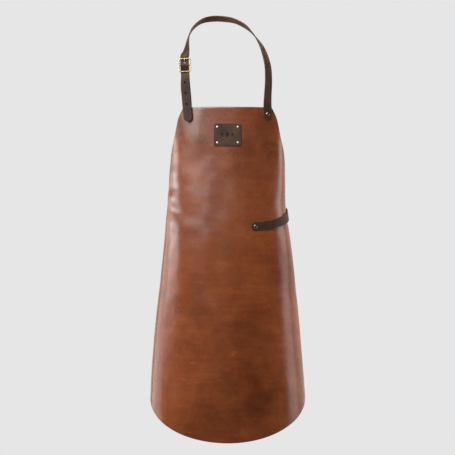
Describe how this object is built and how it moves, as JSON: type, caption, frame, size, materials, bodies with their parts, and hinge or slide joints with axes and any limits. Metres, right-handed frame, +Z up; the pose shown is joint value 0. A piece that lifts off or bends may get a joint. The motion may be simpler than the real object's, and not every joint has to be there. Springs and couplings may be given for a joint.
{
  "type": "welding apron",
  "caption": "Leather welding apron: one wrapped bib-and-skirt sheet hung from an adjustable buckled neck loop, with a buckled waist strap and a riveted patch.",
  "frame": {"origin": "on the nape of the wearer's neck, where the neck loop bears, in the apron's centre plane", "axes": "+Z up along the hanging apron, -Y out of its front face, +X to the right of someone facing the front"},
  "size_m": [0.4057, 0.2301, 1.1096],
  "materials": {
    "apron_leather": "oiled pull-up leather, semi-gloss, mottled",
    "label_leather": "dark brown leather, satin",
    "strap_leather": "dark brown strap leather, burnished edges",
    "brass": "polished, slightly worn",
    "antique_nickel": "antique nickel"
  },
  "bodies": {
    "neck_loop": {"neck_strap": "strap_leather", "buckle_strap": "strap_leather", "neck_buckle_frame": "brass", "neck_fold_rivet": "antique_nickel"},
    "neck_tongue": {"neck_buckle_tongue": "brass"},
    "apron": {"apron_panel": "apron_leather", "label_patch": "label_leather", "label_rivets": "antique_nickel", "label_rivet_burrs": "antique_nickel", "neck_strap_anchor": "strap_leather", "buckle_strap_anchor": "strap_leather", "waist_strap_front": "strap_leather", "neck_right_stud_screw": "antique_nickel", "neck_right_stud_post": "antique_nickel", "neck_left_stud_screw": "antique_nickel", "neck_left_stud_post": "antique_nickel", "waist_front_stud_screw": "antique_nickel", "waist_front_stud_post": "antique_nickel", "waist_side_stud_screw": "antique_nickel", "waist_side_stud_post": "antique_nickel"},
    "waist_loop": {"waist_strap": "strap_leather", "waist_tab": "strap_leather", "waist_buckle_frame": "brass", "waist_fold_rivet": "antique_nickel"},
    "waist_tongue": {"waist_buckle_tongue": "brass"}
  },
  "joints": [
    {"name": "bib_swing", "type": "hinge", "parent": "neck_loop", "child": "apron", "pos_m": [0, -0.1468, -0.239], "axis": [1, 0, 0], "range_deg": [0, 45]},
    {"name": "neck_tongue_lift", "type": "hinge", "parent": "neck_loop", "child": "neck_tongue", "pos_m": [-0.1096, -0.14502, -0.14135], "axis": [0.9988, 0.005, 0.0495], "range_deg": [0, 10]},
    {"name": "waist_loop_tilt", "type": "hinge", "parent": "apron", "child": "waist_loop", "pos_m": [0, -0.0757, -0.5204], "axis": [1, 0, 0], "range_deg": [-10, 10]},
    {"name": "waist_tongue_lift", "type": "hinge", "parent": "waist_loop", "child": "waist_tongue", "pos_m": [-0.09412, -0.00087, -0.4981], "axis": [-0.1136, -0.0568, 0.9919], "range_deg": [0, 10]}
  ]
}
